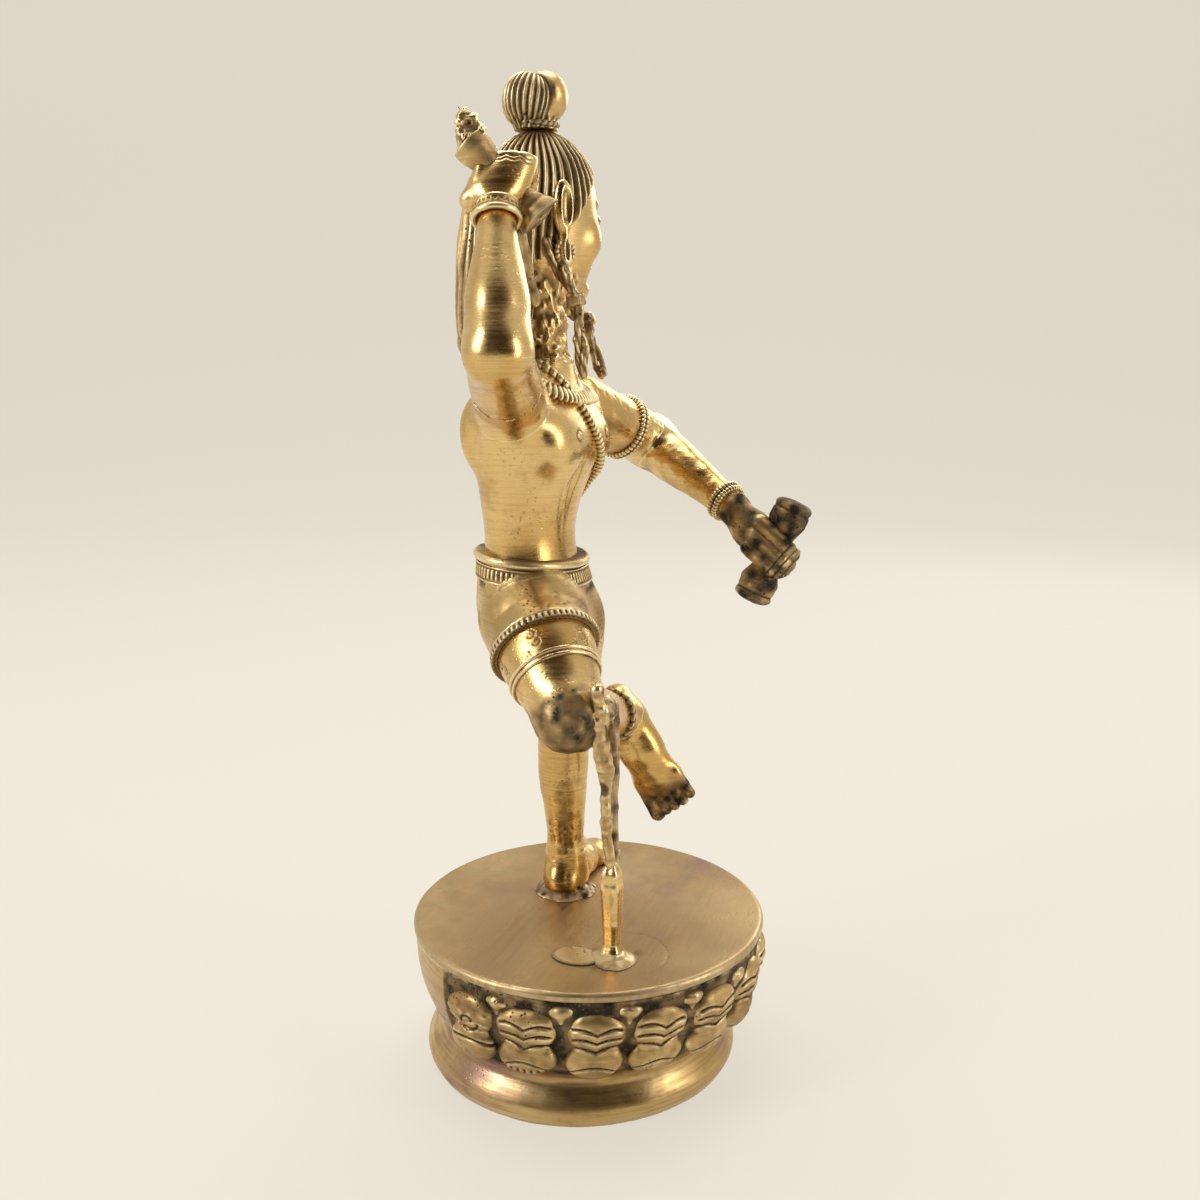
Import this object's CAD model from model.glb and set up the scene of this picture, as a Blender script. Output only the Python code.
"""Brass dancing figure on a lotus base: the finished look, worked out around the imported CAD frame.

Every named piece is a distance field in millimetres, in the row frame, that is meshed where it is
zero. Each field gives the distance and how deep in patina the surface lies there, from 0 to 1.
"""

import functools
import math
from concurrent.futures import ThreadPoolExecutor

import bpy
import numpy as np
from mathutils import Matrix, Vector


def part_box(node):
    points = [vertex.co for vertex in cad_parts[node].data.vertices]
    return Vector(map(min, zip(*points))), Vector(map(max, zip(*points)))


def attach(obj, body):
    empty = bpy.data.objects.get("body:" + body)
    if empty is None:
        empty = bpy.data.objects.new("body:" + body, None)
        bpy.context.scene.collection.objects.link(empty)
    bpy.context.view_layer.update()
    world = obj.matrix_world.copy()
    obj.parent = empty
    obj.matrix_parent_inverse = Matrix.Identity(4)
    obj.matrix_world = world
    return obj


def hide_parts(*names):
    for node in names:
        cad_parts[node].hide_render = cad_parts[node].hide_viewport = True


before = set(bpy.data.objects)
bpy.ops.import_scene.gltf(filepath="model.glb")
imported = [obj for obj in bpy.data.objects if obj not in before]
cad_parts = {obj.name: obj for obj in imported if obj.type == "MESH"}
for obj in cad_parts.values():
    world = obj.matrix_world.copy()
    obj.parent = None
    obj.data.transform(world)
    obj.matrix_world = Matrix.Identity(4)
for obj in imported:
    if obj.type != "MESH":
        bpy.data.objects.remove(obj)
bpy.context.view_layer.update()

MM = 0.001
BLOCK = 8                     # grid cells along the side of a block that is worked out as one
CHUNK = 300000                # points worked out at a time
SLACK = 1.2                   # how far from the surface, in mm, and
STEEPEST = 1.35               # how steep for its distance, a field may be

# ---------------------------------------------------------------- camera
camera_data = bpy.data.cameras.new("camera")
camera_data.lens = 35.94
camera_data.sensor_width = 36
camera = bpy.data.objects.new("camera", camera_data)
camera.location = (-0.3708, -0.1392, 0.2363)
camera.rotation_euler = (math.radians(79.3), 0, math.radians(-70))
bpy.context.scene.collection.objects.link(camera)
bpy.context.scene.camera = camera


# ---------------------------------------------------------------- places taken from the CAD
BOXES = {name: tuple(np.array(corner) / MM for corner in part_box(name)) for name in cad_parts}


def box(node):
    return BOXES[node]


def at(node, *shares):
    """The point that far across a CAD node's box, in millimetres."""
    low, high = box(node)
    return low + (high - low) * np.array(shares)


SKELETON = {
    "left_hip": ("left_leg", 0.498, 0.515, 0.992),
    "left_knee": ("left_leg", 0.517, 0.443, 0.542),
    "left_ankle": ("left_leg", 0.535, 0.479, 0.002),
    "left_heel": ("left_foot", 0.145, 0.479, 0.0),
    "left_toes": ("left_foot", 1.0, 0.505, 0.0),
    "right_hip": ("right_thigh", 0.677, 0.662, 0.696),
    "right_knee": ("right_thigh", 0.241, 0.245, 0.236),
    "right_ankle": ("right_shin", 0.847, 0.386, 0.266),
    "right_toes": ("right_foot", 0.743, 0.239, 0.094),
    "hips": ("torso", 0.494, 0.53, 0.0),
    "neck": ("torso", 0.494, 0.518, 0.958),
    "head": ("head", 0.491, 0.48, 0.652),
    "right_shoulder": ("torso", 0.147, 0.455, 0.875),
    "right_elbow": ("right_upper_arm", 0.199, 0.298, 0.711),
    "right_wrist": ("right_forearm", 0.835, 0.754, 0.942),
    "left_shoulder": ("torso", 0.853, 0.455, 0.854),
    "left_elbow": ("left_upper_arm", 0.799, 0.271, 0.295),
    "left_wrist": ("left_forearm", 0.162, 0.074, 0.142),
    "left_palm": ("left_hand", 0.325, 0.701, 0.642),
    "bowl_foot": ("fire_bowl", 0.637, 0.19, 0.17),
    "bowl_mouth": ("fire_bowl", 0.273, 0.858, 0.872),
    "drum_top": ("damaru", 0.638, 0.235, 0.931),
    "drum_bottom": ("damaru", 0.362, 0.765, 0.069),
    "pad": ("strut_pad", 0.5, 0.5, 0.0),
    "socket_top": ("strut_socket", 0.444, 0.489, 0.998),
    "front_rod_top": ("strut_rod_front", 0.156, 0.556, 0.994),
    "rear_rod_top": ("strut_rod_rear", 0.697, 0.615, 0.997),
    "leaf": ("strut_leaf", 0.5, 0.467, 0.0),
    "knee_fill": ("knee_braze", 0.48, 0.674, 0.5),
}
BONE = {name: at(*place) for name, place in SKELETON.items()}
PLATE_TOP = box("top_plate")[1][2]
PLATE_RADIUS = box("top_plate")[1][0]


# ---------------------------------------------------------------- vectors, randomness
def unit(v):
    v = np.asarray(v, float)
    return v / np.linalg.norm(v)


def length(v):
    return np.sqrt((v * v).sum(-1))


def between(a, b, share):
    return BONE[a] + (BONE[b] - BONE[a]) * share if isinstance(a, str) else a + (b - a) * share


TURN = 2 * np.pi
CORNERS = np.array([(i, j, k) for i in (0, 1) for j in (0, 1) for k in (0, 1)])
LATTICE_SIDE = 32
LATTICE = np.random.default_rng(11).uniform(-1, 1, LATTICE_SIDE ** 3)


def lumps(p, size, shift=0.0):
    """Smooth random bumps about that many millimetres across, from -1 to 1."""
    q = (p / np.asarray(size, float) + shift).T
    floor = np.floor(q)
    t = q - floor
    x, y, z = t * t * (3 - 2 * t)
    first = floor.astype(np.int64) % LATTICE_SIDE
    i0, j0, k0 = first
    i1, j1, k1 = (first + 1) % LATTICE_SIDE
    side = LATTICE_SIDE
    rows = [(i * side + j) * side for i, j in ((i0, j0), (i1, j0), (i0, j1), (i1, j1))]
    a, b, c, d = (LATTICE[row + k0] * (1 - z) + LATTICE[row + k1] * z for row in rows)
    return (a * (1 - x) + b * x) * (1 - y) + (c * (1 - x) + d * x) * y


def step(low, high, value):
    t = np.clip((value - low) / (high - low), 0, 1)
    return t * t * (3 - 2 * t)


def most(*fields):
    """The greatest of the fields' values: what lies within all of them."""
    return functools.reduce(np.maximum, fields)


def line(distance, half_width):
    """1 on a chased line, falling to 0 at its edges."""
    return np.exp(-((distance / half_width) ** 2))


def comb(phase, sharpness=3.0):
    """Evenly spaced cut lines, one at each whole number of the phase."""
    return np.exp(-((np.abs(phase - np.round(phase)) * 2 * sharpness) ** 2))


# ---------------------------------------------------------------- distance fields
def melt(a, b, width):
    """The union of two fields with a fillet of about that width."""
    h = np.clip(0.5 + 0.5 * (b - a) / width, 0, 1)
    return b + (a - b) * h - width * h * (1 - h)


def cut(a, b, width=0.6):
    """a without b, with a small radius along the edge."""
    return -melt(-a, b, width)


def egg(p, centre, radii, axes=None):
    q = p - centre
    if axes is not None:
        q = q @ np.array(axes).T
    radii = np.asarray(radii, float)
    near, steep = length(q / radii), length(q / radii ** 2)
    return near * (near - 1) / most(steep, 1e-6)


def bone(p, a, b, start_radius, end_radius):
    line_ = b - a
    t = np.clip(((p - a) @ line_) / (line_ @ line_), 0, 1)
    return length(p - a - t[:, None] * line_) - (start_radius + (end_radius - start_radius) * t)


def tube(p, stations, width=0.5):
    """A bent limb through (point, radius) stations."""
    total = None
    for (a, ra), (b, rb) in zip(stations, stations[1:]):
        d = bone(p, a, b, ra, rb)
        total = d if total is None else melt(total, d, width)
    return total


class Limb:
    """A straight limb between two bones' ends, with a radius at each share of its length."""

    def __init__(self, start, end, rows, soft=3.0):
        self.start, self.reach = BONE[start], np.linalg.norm(BONE[end] - BONE[start])
        self.axis = unit(BONE[end] - BONE[start])
        shares, radii = zip(*rows)
        self.radius = smooth_table(np.array(shares) * self.reach, radii, soft)

    def __call__(self, p):
        v = p - self.start
        t = np.clip(v @ self.axis, 0, self.reach)
        return length(v - t[:, None] * self.axis) - self.radius(t)


def along(p, a, b):
    """How far along the line from a to b in mm, how far from it, and the angle round it."""
    axis = unit(b - a)
    helper = np.array((0, 0, 1.0)) if abs(axis[2]) < 0.9 else np.array((1.0, 0, 0))
    side = unit(np.cross(axis, helper))
    other = np.cross(axis, side)
    v = p - a
    return v @ axis, np.hypot(v @ side, v @ other), np.arctan2(v @ other, v @ side)


def rounded(x, y, rounding):
    """What lies within both fields, with its corners rounded off."""
    x, y = x + rounding, y + rounding
    return np.hypot(most(x, 0), most(y, 0)) + np.minimum(most(x, y), 0) - rounding


def block(p, centre, axes, half, rounding):
    q = np.abs((p - centre) @ np.array(axes).T) - np.asarray(half, float) + rounding
    return length(most(q, 0)) + np.minimum(q.max(1), 0) - rounding


def rope(p, a, b, radius, turns_per_mm, strands=2):
    """Strands twisted round the line from a to b."""
    s, r, angle = along(p, a, b)
    reach = np.linalg.norm(b - a)
    past = most(-s, s - reach, 0)
    total = None
    for i in range(strands):
        turn = TURN * (s * turns_per_mm + i / strands)
        x, y = r * np.cos(angle - turn) - radius * 0.5, r * np.sin(angle - turn)
        d = np.sqrt(x * x + y * y + past * past) - radius * 0.62
        total = d if total is None else melt(total, d, 0.3)
    return total * 0.8


def smooth_table(places, values, soft=3.0):
    """Values between the places given, rounded off so that no kink shows."""
    fine = np.arange(places[0] - 4 * soft, places[-1] + 4 * soft, 0.25)
    raw = np.interp(fine, places, values)
    reach = np.arange(-3 * soft, 3 * soft + 0.1, 0.25)
    weights = np.exp(-0.5 * (reach / soft) ** 2)
    half = len(reach) // 2
    padded = np.concatenate([np.full(half, raw[0]), raw, np.full(half, raw[-1])])
    made = np.convolve(padded, weights / weights.sum(), "valid")[:len(fine)]
    return lambda z: np.interp(z, fine, made)


class Stack:
    """A body of oval slices: rows of (height, shift x, shift y, half width, half depth)."""

    def __init__(self, rows, soft=3.0):
        rows = np.array(rows, float)
        self.low, self.high = rows[0, 0], rows[-1, 0]
        self.x, self.y, self.a, self.b = (smooth_table(rows[:, 0], rows[:, i], soft) for i in (1, 2, 3, 4))

    def __call__(self, x, y, z, ends=2.0):
        a, b = self.a(z), self.b(z)
        x, y = x - self.x(z), y - self.y(z)
        near, steep = np.hypot(x / a, y / b), np.hypot(x / a ** 2, y / b ** 2)
        side = near * (near - 1) / most(steep, 1e-4)
        return -melt(-side, -most(self.low - z, z - self.high), ends)


def joined(own, *others, lap=0.25):
    """own melted into its (neighbour, width) pairs, and ended where a neighbour is nearer."""
    def field(p):
        mine = own(p)
        total, rest = mine, mine + 1e3
        for other, width in others:
            d = other(p)
            total, rest = melt(total, d, width), np.minimum(rest, d)
        return most(total, (mine - rest) / 2 - lap)
    return field


# ---------------------------------------------------------------- meshing
def grid_values(field, low, count, cell):
    """The field on a grid. Far from the surface one value stands for a whole block."""
    blocks = count // BLOCK
    index = np.stack(np.meshgrid(*[np.arange(n) for n in blocks], indexing="ij"), -1).reshape(-1, 3)
    centres = low + (index + 0.5) * BLOCK * cell
    coarse = in_chunks(field, centres).reshape(blocks)
    reach = BLOCK * cell * math.sqrt(3) / 2 * STEEPEST + SLACK
    values = np.pad(coarse.repeat(BLOCK, 0).repeat(BLOCK, 1).repeat(BLOCK, 2), ((0, 1),) * 3, "edge")
    near = (np.abs(coarse) < reach).repeat(BLOCK, 0).repeat(BLOCK, 1).repeat(BLOCK, 2)
    wanted = np.zeros(count + 1, bool)
    for i, j, k in CORNERS:
        wanted[i:i + count[0], j:j + count[1], k:k + count[2]] |= near
    found = np.argwhere(wanted)
    values[wanted] = in_chunks(field, low + found * cell)
    for axis in range(3):          # closed where the grid ends
        for edge in (0, -1):
            face = [slice(None)] * 3
            face[axis] = edge
            values[tuple(face)] = most(values[tuple(face)], 0.01)
    return values


def in_chunks(field, points):
    made = [field(points[i:i + CHUNK]) for i in range(0, len(points), CHUNK)]
    return np.concatenate(made) if made else np.zeros(0)


def surface(values):
    """Vertices, in grid steps, and four-sided faces of the surface where the values cross zero."""
    inside = values < 0
    count = np.array(values.shape) - 1

    def corner(array, offset):
        return array[tuple(slice(o, o + n) for o, n in zip(offset, count))]

    total = sum(corner(inside, c).astype(np.int8) for c in CORNERS)
    active = (total > 0) & (total < 8)
    number = np.full(count, -1)
    number[active] = np.arange(active.sum())
    place = np.zeros((active.sum(), 3))
    crossings = np.zeros(active.sum())
    for a in CORNERS:
        for axis in range(3):
            if a[axis]:
                continue
            b = a.copy()
            b[axis] = 1
            va, vb = corner(values, a)[active], corner(values, b)[active]
            crossed = (va < 0) != (vb < 0)
            t = np.where(crossed, va / np.where(crossed, va - vb, 1), 0)
            place += crossed[:, None] * (a + t[:, None] * (b - a))
            crossings += crossed
    place = np.argwhere(active) + place / crossings[:, None]

    faces = []
    for axis in range(3):
        u, v = (axis + 1) % 3, (axis + 2) % 3
        head = [slice(None)] * 3
        tail = [slice(None)] * 3
        tail[axis], head[axis] = slice(None, -1), slice(1, None)
        s0, s1 = inside[tuple(tail)], inside[tuple(head)]
        edges = np.argwhere(s0 != s1)
        keep = (edges[:, u] > 0) & (edges[:, v] > 0) & (edges[:, u] < count[u]) & (edges[:, v] < count[v])
        edges = edges[keep]
        outward = s0[tuple(edges.T)]
        ring = []
        for du, dv in ((-1, -1), (0, -1), (0, 0), (-1, 0)):
            cell = edges.copy()
            cell[:, u] += du
            cell[:, v] += dv
            ring.append(number[tuple(cell.T)])
        ring = np.stack(ring, 1)
        ring[~outward] = ring[~outward][:, ::-1]
        faces.append(ring)
    return place, np.concatenate(faces)


TETRA = np.array([(1, -1, -1), (-1, -1, 1), (-1, 1, -1), (1, 1, 1)], float)


def settle(field, points, cell, reach=0.12):
    """Moves the vertices onto the field's zero and gives the direction of its slope there."""
    for _ in range(2):
        samples = [in_chunks(field, points + reach * k) for k in TETRA]
        slope = sum(s[:, None] * k for s, k in zip(samples, TETRA)) / (4 * reach)
        value = sum(samples) / 4
        steep = most((slope * slope).sum(1), 0.05)
        move = slope * (value / steep)[:, None]
        far = most(length(move) / (0.45 * cell), 1)
        points = points - move / far[:, None]
    return points, slope / most(length(slope), 1e-6)[:, None]


def crease(points, faces, normals, rounds=3):
    """How far each vertex stands above its neighbours, in millimetres: over 0 on a ridge."""
    a, b = faces.ravel(), np.roll(faces, -1, 1).ravel()
    a, b = np.concatenate([a, b]), np.concatenate([b, a])
    degree = most(np.bincount(a, minlength=len(points)), 1)
    centre = np.stack([np.bincount(a, points[b, i], len(points)) for i in range(3)], 1) / degree[:, None]
    height = ((points - centre) * normals).sum(1)
    for _ in range(rounds):
        height = 0.4 * height + 0.6 * np.bincount(a, height[b], len(points)) / degree
    return height


def shape(name, field, slot, cell, margin):
    """A piece's vertices and faces, with how deep in patina and how worn each vertex is."""
    cell = cell * 1
    low, high = box(name)
    low, high = low - margin, high + margin
    count = (np.ceil((high - low) / cell / BLOCK).astype(int)) * BLOCK

    def distance(p):
        return field(p)[0]

    place, faces = surface(grid_values(distance, low, count, cell))
    points, normals = settle(distance, low + place * cell, cell)
    patina = in_chunks(lambda p: np.clip(field(p)[1], 0, 1), points)
    worn = crease(points, faces, normals) / (cell * cell)
    return name, slot, points, faces, patina, worn


def hang(name, slot, points, faces, patina, worn):
    """Makes the mesh, hangs it on the body and hides the CAD node that it stands for."""
    mesh = bpy.data.meshes.new(name)
    mesh.vertices.add(len(points))
    mesh.vertices.foreach_set("co", (points * MM).astype(np.float32).ravel())
    mesh.loops.add(faces.size)
    mesh.loops.foreach_set("vertex_index", faces.astype(np.int32).ravel())
    mesh.polygons.add(len(faces))
    mesh.polygons.foreach_set("loop_start", np.arange(0, faces.size, 4, dtype=np.int32))
    mesh.polygons.foreach_set("use_smooth", np.ones(len(faces), bool))
    mesh.update(calc_edges=True)
    mesh.validate()
    for label, values in (("patina", patina), ("worn", worn)):
        if len(values) == len(mesh.vertices):
            mesh.attributes.new(label, "FLOAT", "POINT").data.foreach_set("value", values.astype(np.float32))
    mesh.materials.append(MATERIALS[slot])
    piece = bpy.data.objects.new(name + "_brass", mesh)
    bpy.context.scene.collection.objects.link(piece)
    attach(piece, "root")
    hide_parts(name)
    print("piece", name, len(faces), flush=True)


# ---------------------------------------------------------------- materials
def brass(name, light, mid, warm, roughness, streak=(70, 70, 1500), streak_strength=0.05,
          pits=0.35, stain=0.25, tarnish=0.2):
    """Filed and polished cast brass with patina in its recesses, brush marks, pits and stains."""
    material = bpy.data.materials.new(name)
    material.use_nodes = True
    nodes, links = material.node_tree.nodes, material.node_tree.links
    shader = nodes["Principled BSDF"]

    def node(kind, **values):
        made = nodes.new(kind)
        for key, value in values.items():
            if hasattr(made, key):
                setattr(made, key, value)
            else:
                made.inputs[key.replace("_", " ")].default_value = value
        return made

    def noise(scale, detail, vector, rough=0.5):
        made = node("ShaderNodeTexNoise", Scale=scale, Detail=detail, Roughness=rough)
        links.new(vector, made.inputs["Vector"])
        return made.outputs["Fac"]

    def spread(value, low, high, low_to=0.0, high_to=1.0):
        made = node("ShaderNodeMapRange")
        made.interpolation_type = "SMOOTHSTEP"
        made.inputs["From Min"].default_value, made.inputs["From Max"].default_value = low, high
        made.inputs["To Min"].default_value, made.inputs["To Max"].default_value = low_to, high_to
        links.new(value, made.inputs["Value"])
        return made.outputs["Result"]

    def maths(kind, a, b):
        made = node("ShaderNodeMath", operation=kind)
        for socket, value in zip(made.inputs, (a, b)):
            if isinstance(value, (int, float)):
                socket.default_value = value
            else:
                links.new(value, socket)
        return made.outputs[0]

    def mix(share, a, b, kind="MIX"):
        made = node("ShaderNodeMix", data_type="RGBA", blend_type=kind)
        if isinstance(share, (int, float)):
            made.inputs[0].default_value = share
        else:
            links.new(share, made.inputs[0])
        for socket, value in ((made.inputs[6], a), (made.inputs[7], b)):
            if isinstance(value, tuple):
                socket.default_value = (*value, 1)
            else:
                links.new(value, socket)
        return made.outputs[2]

    place = node("ShaderNodeTexCoord").outputs["Object"]
    stretch = node("ShaderNodeMapping")
    stretch.inputs["Scale"].default_value = streak
    links.new(place, stretch.inputs["Vector"])
    brushed = noise(1.0, 4.0, stretch.outputs["Vector"], 0.6)

    patina_in = node("ShaderNodeAttribute", attribute_name="patina").outputs["Fac"]
    worn_in = node("ShaderNodeAttribute", attribute_name="worn").outputs["Fac"]
    large = noise(24.0, 3.0, place)
    blotch = noise(95.0, 6.0, place, 0.65)
    fine = noise(900.0, 3.0, place, 0.7)
    shift = node("ShaderNodeMapping")
    shift.inputs["Location"].default_value = (0.37, 0.11, 0.23)
    links.new(place, shift.inputs["Vector"])
    stain_at = noise(17.0, 4.0, shift.outputs["Vector"], 0.6)

    colour = mix(spread(large, 0.38, 0.62), mid, light)
    colour = mix(spread(blotch, 0.5, 0.75, 0, 0.55), colour, warm)
    colour = mix(maths("MULTIPLY", spread(stain_at, 0.56, 0.74), stain), colour, MAUVE)
    tarnished = mix(1.0, colour, warm, "MULTIPLY")
    colour = mix(maths("MULTIPLY", spread(brushed, 0.42, 0.7), tarnish), colour, tarnished)

    spots = node("ShaderNodeTexVoronoi", Scale=620.0, Randomness=1.0)
    links.new(place, spots.inputs["Vector"])
    where = spread(noise(60.0, 3.0, place), 0.5, 0.66)
    pit = maths("MULTIPLY", maths("MULTIPLY", spread(spots.outputs["Distance"], 0.30, 0.12), where), pits)

    hollow = spread(worn_in, -0.03, -0.16)
    recess = maths("MAXIMUM", patina_in, maths("MULTIPLY", hollow, 0.75))
    recess = maths("MULTIPLY", recess, spread(fine, 0.25, 0.5, 0.75, 1.0))
    dark = maths("MINIMUM", maths("ADD", recess, pit), 1.0)
    colour = mix(dark, colour, mix(spread(dark, 0.45, 0.95), PATINA_BROWN, PATINA))
    ridge = maths("MULTIPLY", spread(worn_in, 0.05, 0.2), maths("SUBTRACT", 1.0, dark))
    colour = mix(maths("MULTIPLY", ridge, 0.65), colour, BRIGHT)

    links.new(colour, shader.inputs["Base Color"])
    links.new(spread(dark, 0.4, 1.0, 1.0, 0.6), shader.inputs["Metallic"])
    rough = maths("ADD", roughness, maths("MULTIPLY", spread(brushed, 0.3, 0.7, -0.5, 0.5), 0.12))
    rough = maths("ADD", rough, maths("MULTIPLY", dark, 0.32))
    rough = maths("ADD", rough, maths("MULTIPLY", spread(blotch, 0.4, 0.65), 0.08))
    links.new(rough, shader.inputs["Roughness"])

    relief = maths("ADD", maths("MULTIPLY", brushed, streak_strength), maths("MULTIPLY", fine, 0.10))
    relief = maths("SUBTRACT", relief, maths("MULTIPLY", pit, 0.6))
    bump = node("ShaderNodeBump", Strength=0.5, Distance=0.0006)
    links.new(relief, bump.inputs["Height"])
    links.new(bump.outputs["Normal"], shader.inputs["Normal"])
    return material


MAUVE = (0.30, 0.17, 0.16)
PATINA = (0.022, 0.016, 0.010)
PATINA_BROWN = (0.15, 0.070, 0.035)
BRIGHT = (0.97, 0.85, 0.55)
GOLD = (0.82, 0.60, 0.27)
OCHRE = (0.66, 0.43, 0.15)
ORANGE = (0.46, 0.25, 0.09)

MATERIALS = {
    "figure_brass": brass("figure_brass", GOLD, OCHRE, ORANGE, 0.24),
    "relief_brass": brass("relief_brass", GOLD, (0.58, 0.41, 0.17), (0.30, 0.17, 0.06), 0.33, pits=0.7),
    "plate_brass": brass("plate_brass", (0.50, 0.36, 0.18), (0.40, 0.27, 0.13), (0.36, 0.20, 0.10), 0.40,
                         streak=(40, 500, 60), streak_strength=0.02, tarnish=0.12, stain=0.9),
    "base_brass": brass("base_brass", (0.66, 0.49, 0.24), (0.52, 0.36, 0.15), (0.36, 0.20, 0.08), 0.32,
                        streak=(50, 50, 1100), streak_strength=0.12, stain=0.8, tarnish=0.4),
    "braze": brass("braze", (0.66, 0.51, 0.28), (0.46, 0.33, 0.17), (0.26, 0.15, 0.08), 0.36, pits=0.9),
}

# ---------------------------------------------------------------- base
SETBACK = at("closing_plate", 0.5, 0.5, 0)[1]
base_radius = smooth_table(
    (0, 2.5, 6, 9.5, 13, 16.5, 22, 30, 38, 48, 52),
    (52.3, 54.6, 54.9, 52.8, 49.7, 50.4, 54, 57.8, 59.8, 60.4, 60.4), 1.4)
base_shift = smooth_table((0, 6, 13, 22, 38, 48), (SETBACK, SETBACK, 0.8 * SETBACK, 0.5 * SETBACK, 0.3, 0), 2)
WALL = 3.2
PETAL_COUNT = 12
PETAL_PITCH = math.radians(20.6)
PETAL_MIDDLE = math.radians(-85.1)
PETAL_RADIUS = 56.6
PETAL_HEIGHT = 32.3
EAVES = box("top_plate")[0][2]


def round_base(p):
    y = p[:, 1] - base_shift(p[:, 2])
    return np.hypot(p[:, 0], y), np.arctan2(y, p[:, 0])


def relief_angle(angle):
    """The angle from the middle of the petals, from -pi to pi."""
    return (angle - PETAL_MIDDLE + np.pi) % TURN - np.pi


def base_shell(p):
    r, angle = round_base(p)
    z = p[:, 2]
    a = relief_angle(angle)
    edge = (PETAL_COUNT / 2) * PETAL_PITCH
    band = step(15, 19, z) * step(edge + 0.06, edge - 0.02, np.abs(a))
    wobble = 0.35 * lumps(p, (30, 30, 18)) + 0.10 * lumps(p, 7)
    d = (r - base_radius(z) - wobble) * 0.92
    rough = band * (0.35 * lumps(p, 2.2) + 0.45 * lumps(p, 4.5))
    outline = line(np.abs(np.abs(a) - edge - 0.01) * r, 0.9) * step(19, 24, z) * step(48, 44, z)
    d = d + rough - 0.9 * outline
    d = most(d, base_radius(z) - WALL - r, -z, z - EAVES)
    waist = line(z - 13.5, 1.6) * step(-0.1, 0.6, lumps(p, (14, 14, 2)))
    return d, band * (0.86 + 0.3 * lumps(p, 3)) + 0.5 * waist


def closing_plate(p):
    r, _ = round_base(p * (1, 1, 0))
    low, high = box("closing_plate")
    z = p[:, 2]
    return most(r - (high[0] - low[0]) / 2, low[2] - z, z - high[2]), 0 * r + 0.3


def top_plate(p):
    r, angle = np.hypot(p[:, 0], p[:, 1]), np.arctan2(p[:, 1], p[:, 0])
    z = p[:, 2]
    edge = PLATE_RADIUS + 0.35 * np.sin(2 * angle + 1) + 0.2 * lumps(p, 14) - 0.3
    middle, half = (EAVES + PLATE_TOP) / 2, (PLATE_TOP - EAVES) / 2
    d = rounded(r - edge, np.abs(z - middle) - half, 1.5)
    d = d + 0.05 * lumps(p, 9) * step(3, 0, np.abs(z - PLATE_TOP))
    x, y, _ = (p - BONE["pad"]).T
    scribe = line(np.hypot(x - 4, y + 2) - 15, 0.25) * step(0.2, 0.6, np.cos(np.arctan2(y, x) + 0.9))
    heel_x, heel_y, _ = (p - BONE["left_heel"]).T
    around_foot = step(15, 9, np.hypot(heel_x, heel_y))
    around_pad = step(12, 8, np.hypot(x, y))
    grime = 0.55 * (around_foot + around_pad) * step(-0.3, 0.5, lumps(p, 2.5))
    under = step(EAVES + 1.0, EAVES - 0.2, z) * 0.8
    return d + 0.12 * scribe, most(grime, under) + 0.25 * scribe


def petal_frame(p, count, offset_z, radius):
    """Across, up and outward from the nearest petal's centre, with its number."""
    r, angle = round_base(p)
    turn = relief_angle(angle) / PETAL_PITCH + (count - 1) / 2
    number = np.clip(np.round(turn), 0, count - 1)
    offset = (turn - number) * PETAL_PITCH
    return r * np.sin(offset), p[:, 2] - offset_z, r * np.cos(offset) - radius, number


PETAL_HALF_WIDTH = 9.7


def lotus_petals(p):
    s, t, w, number = petal_frame(p, PETAL_COUNT, PETAL_HEIGHT, PETAL_RADIUS)
    s = s + 0.5 * np.sin(number * 2.3) + 0.5 * lumps(p, 9)
    w = w - 0.16 * t
    wide = PETAL_HALF_WIDTH * (1 + 0.04 * np.sin(number * 1.7))
    share = s / wide
    q = np.stack([share * PETAL_HALF_WIDTH, t, w], 1)
    hood = egg(q, (0, 4.8, 0.9), (9.5, 7.2, 4.0))
    lobe = egg(q, (0, -5.8, 0.7), (9.2, 6.8, 4.6))
    d = melt(hood, lobe, 1.4)
    pair = np.abs(np.sin(np.pi * np.clip(share, -1, 1)))
    single = np.cos(np.pi / 2 * np.clip(share, -1, 1))
    inside = step(0.92, 0.78, np.abs(share + 0.08 * np.sin(number * 3.1)))
    cuts = np.zeros(len(p))
    for height in (5.6, 2.2, -1.4):
        cuts = most(cuts, line(t - height - 1.5 * pair + 0.3 * lumps(p, 5), 0.42))
    arch = line(t + 11.0 - 4.6 * single, 0.38) * step(-3.5, -5.0, t)
    cuts = most(cuts * inside, arch * inside)
    ticks = comb(s / 2.2, 2.6) * step(-8, -10, t) * step(0.2, 0.5, np.sin(number * 1.3 + 1))
    cuts = most(cuts, ticks)
    scroll = number < 0.5                     # the first element is a scroll, not a petal
    spiral = np.hypot(s - 1.0, t - 3.0) - 1.1 * ((np.arctan2(t - 3.0, s - 1.0) / TURN) % 1) * 2.4 - 1.2
    cuts = np.where(scroll, most(line(spiral, 0.5), line(t + 5 - 1.5 * single, 0.45)), cuts)
    shelf = (t - 2.2 - 1.5 * pair) % 3.5 / 3.5 * step(-2.4, -1.2, t) * step(7.2, 5.8, t)
    d = d + 0.6 * cuts - 0.45 * shelf * inside + 0.12 * lumps(p, 2.6) + 0.35 * lumps(p, 5.5)
    d = most(d, most(p[:, 2] - EAVES + 0.2, -w - 6))
    stained = 0.34 + 0.28 * lumps(p, 5) + 0.2 * lumps(p, 2)
    return d * 0.85, most(cuts * 1.2, step(2.0, -0.6, w) * 0.95, stained)


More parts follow.
